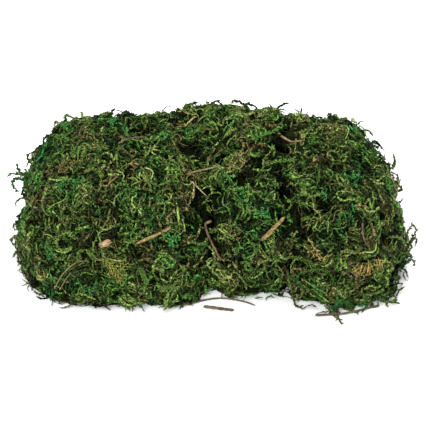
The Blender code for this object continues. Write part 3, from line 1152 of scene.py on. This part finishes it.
def finish_tangle(tangle, name, material):
    """Makes one piece of a tangle of moss that lies on or beside the wads."""
    mesh = tangle.mesh(name)
    for fact in ("hue", "tone", "depth"):
        tangle.paint(mesh, fact)
    move_to(mesh, settle(coordinates(mesh)))
    finish_piece(new_object(name, mesh, material), "moss")


# Sprays that stand out on the surface: points near it and height above it in mm, number of branches, their
# reach in mm and lean in degrees, width and leaf pitch in mm (0 is bare) and the sides that they leave to
FAN = ([(88, -68, 36), (94, -66, 32), (102, -64, 30), (112, -59, 34)], 3.2, 18, 8.6, 96, 1.1, 0, (1,))
TAN_FROND = [
    ([(60, -63, 52), (66, -66, 48), (74, -67, 44)], 1.8, 7, 3.6, 50, 1.5, 1.6, (1, -1)),
    ([(63, -62, 57), (67, -64, 52), (70, -66, 48)], 2.0, 4, 3.0, 45, 1.2, 1.6, (1, -1)),
]
YELLOW_FROND = [
    ([(-72, -64, 42), (-65, -65, 38), (-57, -65, 30)], 1.8, 18, 5.0, 60, 0.9, 1.2, (1, -1)),
    ([(-68, -65, 30), (-61, -65, 34), (-54, -65, 41)], 2.4, 16, 4.4, 55, 0.9, 1.2, (1, -1)),
    ([(-66, -65, 40), (-61, -65, 32), (-58, -65, 27)], 2.8, 14, 4.0, 55, 0.9, 1.2, (1, -1)),
]
# Single shoots that catch the eye: points, height above the surface and width in mm, hue and tone
BRIGHT_SHOOTS = [
    ([(-90, -60, 49), (-98, -60, 46), (-101, -58, 52), (-94, -57, 58), (-88, -58, 55)], 1.6, 3.2, 0.6, 0.9),
    ([(55, -36, 71), (60, -37, 74), (66, -41, 74), (71, -40, 76)], 1.4, 2.4, 0.64, 1.0),
    ([(58, -50, 62), (66, -52, 64), (72, -50, 67)], 1.6, 2.2, 0.56, 0.95),
    ([(50, -62, 40), (58, -64, 42), (66, -66, 41)], 1.8, 2.2, 0.5, 0.9),
    ([(-83, -28, 82), (-79, -25, 83), (-74, -27, 83), (-71, -32, 82)], 1.6, 2.8, 0.64, 0.85),
    ([(-94, -56, 62), (-98, -51, 66), (-95, -48, 71), (-90, -51, 71), (-90, -54, 67)], 1.5, 2.4, 0.72, 0.7),
    ([(-82, -62, 48), (-79, -62, 45), (-75, -63, 40)], 1.5, 2.8, 0.5, 0.8),
    ([(-73, -61, 51), (-71, -63, 47), (-69, -64, 42), (-66, -65, 38)], 1.5, 2.6, 0.68, 0.75),
    ([(-51, -62, 54), (-48, -60, 58), (-43, -59, 62), (-41, -60, 60)], 1.6, 2.8, 0.66, 0.8),
    ([(-47, -66, 37), (-45, -67, 32), (-43, -68, 26)], 1.6, 3.2, 0.4, 0.8),
    ([(-34, -68, 18), (-31, -68, 21), (-26, -67, 21), (-24, -66, 18)], 1.6, 3.4, 0.52, 0.85),
    ([(50, -35, 66), (57, -37, 68), (64, -47, 71), (69, -47, 71)], 1.4, 2.2, 0.5, 0.9),
    ([(83, -66, 49), (88, -65, 49), (93, -64, 47), (97, -62, 49)], 1.4, 2.2, 0.7, 0.85),
    ([(85, -62, 61), (82, -58, 66), (86, -53, 70), (91, -54, 68), (91, -58, 62)], 1.6, 2.0, 0.15, 0.95),
    ([(58, -65, 31), (65, -67, 35), (71, -68, 36), (77, -68, 34)], 1.6, 2.2, 0.4, 0.9),
    ([(42, -49, 54), (40, -54, 50), (40, -56, 43)], 1.4, 2.2, 0.6, 0.85),
    ([(27, 8, 82), (33, 11, 83), (40, 16, 82), (48, 23, 82)], 2.0, 3.2, 0.28, 0.95),
    ([(36, -21, 83), (42, -16, 82), (50, -12, 80), (56, -8, 80)], 2.2, 2.8, 0.42, 0.95),
]
# Tufts whose dye took differently: middle and radius in mm, number of shoots, hue and tone
TUFTS = [
    ((-64, 28, 84), 6, 9, 0.08, 0.85),
    ((-97, -35, 75), 6, 7, 0.1, 0.75),
    ((-86, -33, 80), 6, 8, 0.1, 0.85),
    ((-25, -59, 51), 5, 9, 0.05, 1.0),
    ((32, -48, 68), 5, 7, 0.06, 1.0),
    ((-68, -19, 85), 7, 10, 0.6, 0.95),
    ((-84, 12, 85), 7, 9, 0.93, 0.7),
    ((114, -41, 65), 4, 6, 0.97, 0.15),
    ((50, -58, 47), 4, 5, 0.9, 0.3),
    ((92, -30, 80), 7, 8, 0.1, 0.8),
    ((-106, -56, 40), 6, 7, 0.12, 0.8),
    ((84, -60, 6), 7, 12, 0.06, 0.75),
    ((94, -58, 7), 7, 12, 0.08, 0.7),
    ((112, -52, 8), 6, 12, 0.45, 0.4),
]
# Sprigs that stand clear of the loaf: points in mm, number of branches, their reach and width in mm, and hue
SPRIGS = {
    "left_sprigs": [
        ([(-121, 0, 62), (-127, 0, 61), (-134.5, 0, 62.5)], 5, 3.6, 2.6, 0.25),
        ([(-124, 0, 61), (-127.5, 0, 66), (-127, 0, 71)], 3, 2.2, 2.5, 0.3),
        ([(-123, 0, 56), (-129, 0, 58), (-131, 0, 52), (-127, 0, 46.5)], 6, 2.4, 2.9, 0.12),
        ([(-118, 4, 66), (-121, 4, 71), (-120, 4, 75), (-117, 4, 77)], 4, 2.4, 2.0, 0.5),
        ([(-124, -30, 34), (-129, -30, 33), (-131.5, -30, 29), (-130, -30, 25)], 5, 2.5, 2.5, 0.6),
        ([(-125, -30, 20), (-129, -30, 19), (-131, -30, 15)], 3, 2.0, 2.0, 0.55),
    ],
    "right_sprigs": [
        ([(127, -30, 18), (129, -30, 24), (131.5, -30, 31), (134, -30, 38), (132, -30, 43)], 7, 3, 2.1, 0.6),
        ([(127, -30, 27), (128, -30, 35), (130, -30, 40), (132, -30, 43)], 5, 2.4, 1.9, 0.5),
        ([(128, -30, 22), (131, -30, 29), (134.5, -30, 31), (133.5, -30, 24)], 4, 2.4, 1.9, 0.6),
        ([(127, -30, 9), (131, -30, 13.7), (133.5, -30, 10.5), (133, -30, 8)], 4, 2.0, 2.2, 0.5),
    ],
    "front_sprigs": [
        ([(-52, -60, 8), (-52, -66, 5), (-52, -69, 1)], 3, 2.5, 1.8, 0.5),
        ([(53, -54, 6), (54, -60, 2), (56, -64, 0.6), (60, -65, 3)], 4, 2.4, 2.0, 0.45),
        ([(73, -60, 8), (76, -67, 3), (80, -74, 0.8), (86, -78, 0.8)], 6, 4.0, 1.9, 0.75),
        ([(84, -60, 6), (82, -68, 1.5), (83, -77, 0.8), (85, -83, 0.8)], 5, 3.2, 1.9, 0.6),
        ([(91, -60, 5), (92, -67, 1), (96, -72, 0.8)], 5, 3.0, 2.0, 0.3),
        ([(104, -58, 5), (101, -65, 2), (98, -70, 0.7)], 1, 1.4, 2.4, 0.2),
        ([(104, -56, 7), (111, -60, 5), (118, -62, 3), (122, -58, 2)], 9, 4.2, 2.6, 0.5),
        ([(106, -54, 8), (112, -55, 6), (119, -55, 5), (122, -52, 7)], 8, 3.6, 2.4, 0.35),
    ],
}


# A feathery shoot's stem and the reach of its side leaves as shares of its width, the number of its side
# leaves, and the angle in radians at which they leave the stem
STEM_SHARE, LEAF_SHARE, SIDE_LEAVES, LEAF_LEAN = 0.42, 0.7, 30, 0.9


class MOSS_OT_fronds(bpy.types.Operator):
    """Lay the fan, the fronds and the bright single shoots on the wads"""

    bl_idname = "moss.fronds"
    bl_label = "Fronds"

    def execute(self, context):
        dice = np.random.default_rng(context.scene.shoots.seed + 3)
        loaf = surface_tree(WADS)
        bleached = shoot_material("bleached moss", [(0.0, "#75642f"), (1.0, "#99854e")], deep=4 * MM)
        golden = shoot_material("yellowed moss", [(0.0, "#757a30"), (1.0, "#9a9450")], deep=4 * MM)
        self.lay_sprays("tan_fan", [FAN], bleached, dice, loaf, hue=0.1)
        self.lay_sprays("tan_frond", TAN_FROND, bleached, dice, loaf, hue=0.9)
        self.lay_sprays("yellow_frond", YELLOW_FROND, golden, dice, loaf, hue=0.4)
        tangle = Tangle()
        for points, lift, width, hue, tone in BRIGHT_SHOOTS:
            stem, leaf = width * STEM_SHARE * MM, width * LEAF_SHARE * MM
            lengths = (lift * MM, SIDE_LEAVES, leaf, LEAF_LEAN, stem, 1.1 * MM)
            spray(tangle, dice, loaf, points, *lengths, hue=hue, tone=tone)
        for centre, radius, count, hue, tone in TUFTS:
            for _ in range(count):
                away = dice.normal(0, radius * MM / 2, 3)
                turn = dice.choice([-1, 1]) * dice.uniform(1.5, 5)
                path = curl(dice, dice.uniform(7, 12) * MM, turn, 0, steps=16)
                turned = path @ np.linalg.qr(dice.normal(size=(3, 3)))[0]
                s = np.linspace(0, np.pi, len(path))
                lifted = 0.4 * MM + 1.6 * MM * np.sin(s)
                path, _ = on_loaf(loaf, np.array(centre) * MM + away + turned, lifted)
                facts = {"hue": hue + dice.normal(0, 0.02), "tone": tone + dice.normal(0, 0.12)}
                tangle.leafy(path, dice.uniform(1.6, 2.2) * MM, 1.8 * MM, dice, **facts)
        finish_tangle(tangle, "bright_shoots", bpy.data.materials["dyed sheet moss"])
        return {"FINISHED"}

    def lay_sprays(self, name, sprays, material, dice, loaf, hue):
        tangle = Tangle()
        for stem, lift, branches, reach, lean, width, pitch, sides in sprays:
            lengths = (lift * MM, branches, reach * MM, math.radians(lean), width * MM, pitch * MM)
            spray(tangle, dice, loaf, stem, *lengths, sides, hue=hue, tone=0.66)
        finish_tangle(tangle, name, material)


FRINGE_SHOOTS = 100  # short shoots along the foot of the loaf


class MOSS_OT_sprigs(bpy.types.Operator):
    """Make the sprigs that stand clear of the loaf and the crumbs of moss along its foot"""

    bl_idname = "moss.sprigs"
    bl_label = "Sprigs and Crumbs"

    def execute(self, context):
        dice = np.random.default_rng(context.scene.shoots.seed + 4)
        material = bpy.data.materials["dyed sheet moss"]
        loaf = surface_tree(WADS)
        for name, sprigs in SPRIGS.items():
            tangle = Tangle()
            for points, branches, reach, width, hue in sprigs:
                lengths = (0, branches, reach * MM, LEAF_LEAN, width * MM, 1.5 * MM)
                spray(tangle, dice, loaf, points, *lengths, hue=hue, tone=0.3)
            finish_tangle(tangle, name, material)
        tangle = Tangle()
        for number in range(FRINGE_SHOOTS):
            self.lay_crumb(tangle, dice, loaf, number, context.scene.shoots)
        finish_tangle(tangle, "fringe", material)
        return {"FINISHED"}

    def lay_crumb(self, tangle, dice, loaf, number, settings):
        """One short shoot that comes out from under the loaf's edge and lies on the table."""
        angle = 2 * math.pi * (number + dice.uniform()) / FRINGE_SHOOTS
        away = np.array([math.cos(angle), math.sin(angle), 0])
        start = Vector((CAD_HIGH.x * away[0] * 1.5, CAD_HIGH.y * away[1] * 1.5, dice.uniform(1.5, 5) * MM))
        foot, outward, _, _ = loaf.ray_cast(start, Vector((-start.x * 0.6, -start.y, 0)).normalized())
        if foot is None:
            return
        path = curl(dice, settings.length * dice.uniform(0.45, 0.9), dice.uniform(-4, 4), 1.2 * MM, steps=12)
        heading = math.atan2(outward.y, outward.x) + dice.choice([-1, 1]) * dice.uniform(0.7, 1.7)
        turn = np.array([[math.cos(heading), math.sin(heading)], [-math.sin(heading), math.cos(heading)]])
        path[:, :2] = path[:, :2] @ turn
        path += np.array(foot) + np.array(outward) * dice.uniform(-2.5, 1.2) * MM
        path[:, 2] = np.clip(path[:, 2] - foot.z * np.linspace(0, 1, len(path)), 0.6 * MM, None)
        facts = {"hue": dice.uniform(0.2, 0.95), "tone": dice.uniform(0.2, 0.7)}
        tangle.leafy(path, settings.width * dice.uniform(0.5, 0.85), settings.leaf_pitch, dice, **facts)


# ---------------------------------------------------------------- twigs, straw, bark and the grass blade

# How each caught piece looks: colours from dark to light, roughness, gloss, and the length and width of its
# fibres in mm
FINISHES = {
    # barked, grey-brown with a mauve cast, ridged lengthwise, dull
    "weathered twig": (("#2a231a", "#524636", "#776952"), 0.8, 0.3, 7.0, 0.35),
    # reddish-brown bark with paler, rubbed ridges
    "barked twig": (("#33271a", "#6d573d", "#a08664"), 0.7, 0.3, 7.0, 0.35),
    # thin purplish-brown stem, slightly shiny
    "dark moss stem": (("#2a2114", "#493c28", "#6b5b3e"), 0.6, 0.4, 8.0, 0.3),
    # bare brown stem, smooth
    "dry stem": (("#453620", "#755f40", "#988060"), 0.6, 0.4, 10.0, 0.3),
    # pale yellow, slightly glossy, with fine lengthwise lines
    "dry straw": (("#7a6a45", "#ad9c70", "#cdbd92"), 0.45, 0.5, 12.0, 0.25),
    # straw that has gone pinkish-brown and dull
    "dull straw": (("#463923", "#6f5e40", "#918060"), 0.6, 0.35, 12.0, 0.25),
    # brown split wood with long, parted fibres
    "inner bark": (("#2e230e", "#756239", "#b39b66"), 0.75, 0.25, 9.0, 0.3),
    # pale peach, corky crumb
    "bleached bark": (("#5c4832", "#93785a", "#b79d7c"), 0.85, 0.2, 2.2, 0.6),
    # dull yellow-green dry leaf, ribbed lengthwise
    "grass blade": (("#4c6426", "#7d9a3e", "#9db35c"), 0.6, 0.35, 12.0, 0.25),
}
# node: slot, finish, and in mm how ragged it is, how much narrower on each side, and how far it is raised out
# of the moss
CAUGHT_PIECES = {
    "bent_twig": ("twig", "barked twig", 0.14, 0, 0.6),
    "top_twig": ("twig", "weathered twig", 0.1, 0.1, 0.4),
    "corner_twig": ("twig", "dry stem", 0.14, 0.1, 0.4),
    "stub_twig": ("twig", "weathered twig", 0.16, 0, 0.6),
    "curved_stem": ("twig", "dry stem", 0.06, 0.2, 0.6),
    "curved_stem_2": ("twig", "dry stem", 0.06, 0.2, 0.6),
    "dark_stem": ("twig", "dark moss stem", 0.08, 0, 1.6),
    "top_needle": ("twig", "dry stem", 0.05, 0.2, 0.4),
    "front_twig": ("twig", "weathered twig", 0.14, 0, 0),
    "long_twig": ("twig", "weathered twig", 0.14, 0, 0),
    "pale_straw": ("straw", "dry straw", 0.06, 0.1, 0.8),
    "flat_straw": ("straw", "dull straw", 0.08, 0.35, -0.3),
    "green_blade": ("blade", "grass blade", 0.08, 0, 0.6),
    "bark_sliver": ("bark", "inner bark", 0.22, 0.55, 0.3),
    "bark_chip": ("bark", "inner bark", 0.34, 0.4, 0.3),
    "bark_crumb": ("bark", "bleached bark", 0.5, 0.2, 0),
    "bark_strip": ("bark", "weathered twig", 0.2, 0, 0),
}


def fibre_material(name, colours, roughness, gloss, length, width):
    """A plant fibre finish: streaks along the piece, in colour and in relief."""
    material, tree, shader, _ = new_material(name, roughness, gloss)
    grain = add(tree, "ShaderNodeAttribute", attribute_name="grain").outputs["Vector"]
    scale = (1 / length, 1 / width, 1 / width)
    streaks = add(tree, "ShaderNodeVectorMath", {0: grain, 1: scale}, operation="MULTIPLY")
    inputs = {"Vector": streaks, "Scale": 1.0, "Detail": 4.0, "Roughness": 0.65}
    streaks = add(tree, "ShaderNodeTexNoise", inputs)
    blotches = add(tree, "ShaderNodeTexNoise", {"Vector": grain, "Scale": 0.35, "Detail": 2.0})
    mixed = add(tree, "ShaderNodeMath", {0: streaks, 1: blotches}, operation="ADD")
    mixed = add(tree, "ShaderNodeMapRange", {"Value": mixed, 1: 0.65, 2: 1.35})
    colour = add(tree, "ShaderNodeValToRGB", {"Fac": mixed})
    set_stops(colour, [(place, linear(code)) for place, code in zip((0.0, 0.5, 1.0), colours)])
    tree.links.new(colour.outputs["Color"], shader.inputs["Base Color"])
    bump = add(tree, "ShaderNodeBump", {"Height": streaks, "Strength": 0.7, "Distance": 0.25 * MM})
    tree.links.new(bump.outputs["Normal"], shader.inputs["Normal"])
    return material


BROKEN_END = 1.6  # length in mm over which an end is splintered
SPLINTERS = 6  # how long its splinters are, against how ragged the piece is


def weather(mesh, ragged, thinner):
    """Thins and roughens a smooth piece: ridges along it, and ends that are broken unevenly. Stores its
    grain, which is each point's place along and across the piece in mm."""
    points, normals = coordinates(mesh), coordinates(mesh, "normal")
    middle = points.mean(axis=0)
    _, _, axes = np.linalg.svd(points - middle, full_matrices=False)
    grain = (points - middle) @ axes.T / MM
    ridges = smooth_noise(grain * (0.12, 1.6, 1.6), 1)
    knots = smooth_noise(grain * (0.4, 0.05, 0.05), 1)
    half = np.abs(grain[:, 0]).max()
    end = np.clip((np.abs(grain[:, 0]) - half) / BROKEN_END + 1, 0, 1)
    splinters = smooth_noise(grain * (0.1, 3.5, 3.5) + 40, 1) * end
    moved = points + normals * ((ridges + knots) * ragged * MM)[:, None]
    moved -= np.outer(normals @ axes[1], axes[1]) * thinner * MM
    move_to(mesh, moved + axes[0] * (np.sign(grain[:, 0]) * splinters * SPLINTERS * ragged * MM)[:, None])
    attribute = mesh.attributes.new("grain", "FLOAT_VECTOR", "POINT")
    attribute.data.foreach_set("vector", grain.astype(np.float32).ravel())


class MOSS_OT_caught_pieces(bpy.types.Operator):
    """Make the twigs, stems, straws, bark and the grass blade that are caught in the moss"""

    bl_idname = "moss.caught_pieces"
    bl_label = "Twigs, Bark and Straw"

    def execute(self, context):
        materials = {name: fibre_material(name, *finish) for name, finish in FINISHES.items()}
        loaf = surface_tree(WADS)
        for node, (slot, finish, ragged, thinner, raised) in CAUGHT_PIECES.items():
            obj = new_object(f"{node}_shape", merged_copy(node))
            smooth = obj.modifiers.new("round", "SUBSURF")
            smooth.levels = smooth.render_levels = 2 if slot == "twig" else 3
            mesh = evaluated_mesh(obj)
            weather(mesh, ragged, thinner)
            points = coordinates(mesh)
            out = np.mean([loaf.find_nearest(Vector(point))[1] for point in points[::20]], axis=0)
            move_to(mesh, points + unit(out) * raised * MM)
            mesh.shade_smooth()
            finish_piece(new_object(f"{node}_finished", mesh, materials[finish]), slot, node)
        return {"FINISHED"}


# ---------------------------------------------------------------- stage

AIM = Vector((0.8, 1.5, 27.7)) * MM
FRAME_WIDTH = 281.2 * MM  # what the camera's frame spans at the clump
LENS = 600.0  # in mm: long, so that near and far moss are drawn at one scale
SENSOR = 36.0  # its width in mm
SOFTBOX = 1.6  # side of each softbox in metres
# Where each softbox stands and its power against the main one
SOFTBOXES = {"key_softbox": ((-0.6, -1.35, 1.2), 1.0), "top_softbox": ((0.5, 0.4, 1.8), 0.72)}


class MOSS_OT_stage(bpy.types.Operator):
    """Set the clump on pale seamless paper under soft light, with the camera in front and above"""

    bl_idname = "moss.stage"
    bl_label = "Stage"

    def execute(self, context):
        settings = context.scene.stage
        self.make_floor(settings)
        self.make_lights(settings)
        self.make_camera(settings)
        context.scene.view_settings.view_transform = "Standard"
        return {"FINISHED"}

    def make_floor(self, settings):
        material, tree, shader, place = new_material("matt white paper", 0.9)
        grain = add(tree, "ShaderNodeTexNoise", {"Vector": place, "Scale": 1 / (0.4 * MM), "Detail": 3.0})
        bump = add(tree, "ShaderNodeBump", {"Height": grain, "Strength": 0.05, "Distance": 0.05 * MM})
        shader.inputs["Base Color"].default_value = settings.floor_colour
        tree.links.new(bump.outputs["Normal"], shader.inputs["Normal"])
        mesh = bpy.data.meshes.new("floor")
        shape = bmesh.new()
        bmesh.ops.create_grid(shape, x_segments=1, y_segments=1, size=settings.floor_size / 2)
        shape.to_mesh(mesh)
        shape.free()
        new_object("floor", mesh, material)

    def make_lights(self, settings):
        world = bpy.data.worlds.new("studio")
        world.use_nodes = True
        background = world.node_tree.nodes["Background"]
        background.inputs["Color"].default_value = (1, 1, 1, 1)
        background.inputs["Strength"].default_value = settings.dome
        bpy.context.scene.world = world
        for name, (place, share) in SOFTBOXES.items():
            light = bpy.data.lights.new(name, "AREA")
            light.size, light.energy = SOFTBOX, settings.key * share
            lamp = bpy.data.objects.new(name, light)
            lamp.location = place
            lamp.visible_camera = False
            lamp.rotation_euler = (AIM - Vector(place)).to_track_quat("-Z", "Y").to_euler()
            bpy.context.scene.collection.objects.link(lamp)

    def make_camera(self, settings):
        data = bpy.data.cameras.new("camera")
        data.lens, data.sensor_width = LENS, SENSOR
        camera = bpy.data.objects.new("camera", data)
        away = Vector((0, -math.cos(settings.elevation), math.sin(settings.elevation)))
        camera.location = AIM + away * (FRAME_WIDTH * LENS / SENSOR)
        camera.rotation_euler = (math.pi / 2 - settings.elevation, 0, 0)
        data.clip_start, data.clip_end = 0.01, 50
        bpy.context.scene.collection.objects.link(camera)
        bpy.context.scene.camera = camera


# ---------------------------------------------------------------- the add-on


class MOSS_PT_panel(bpy.types.Panel):
    """Lists the pieces of the clump"""

    bl_idname = "MOSS_PT_panel"
    bl_label = "Moss Clump"
    bl_space_type = "VIEW_3D"
    bl_region_type = "UI"
    bl_category = "Moss"

    def draw(self, context):
        for operator in OPERATORS:
            self.layout.operator(operator.bl_idname)
        for name in SETTINGS:
            box = self.layout.box()
            group = getattr(context.scene, name)
            for key in group.__annotations__:
                box.prop(group, key)


SETTINGS = {"packed_moss": PackedMossSettings, "shoots": ShootSettings, "stage": StageSettings}
OPERATORS = [
    MOSS_OT_packed_moss,
    MOSS_OT_mat,
    MOSS_OT_coat,
    MOSS_OT_loose_shoots,
    MOSS_OT_fronds,
    MOSS_OT_sprigs,
    MOSS_OT_caught_pieces,
    MOSS_OT_stage,
]


def register():
    for kind in [*SETTINGS.values(), *OPERATORS, MOSS_PT_panel]:
        bpy.utils.register_class(kind)
    for name, kind in SETTINGS.items():
        setattr(bpy.types.Scene, name, bpy.props.PointerProperty(type=kind))


def unregister():
    for name in SETTINGS:
        delattr(bpy.types.Scene, name)
    for kind in reversed([*SETTINGS.values(), *OPERATORS, MOSS_PT_panel]):
        bpy.utils.unregister_class(kind)


def main():
    register()
    for operator in OPERATORS:
        group, name = operator.bl_idname.split(".")
        getattr(getattr(bpy.ops, group), name)()


if __name__ == "__main__":
    main()
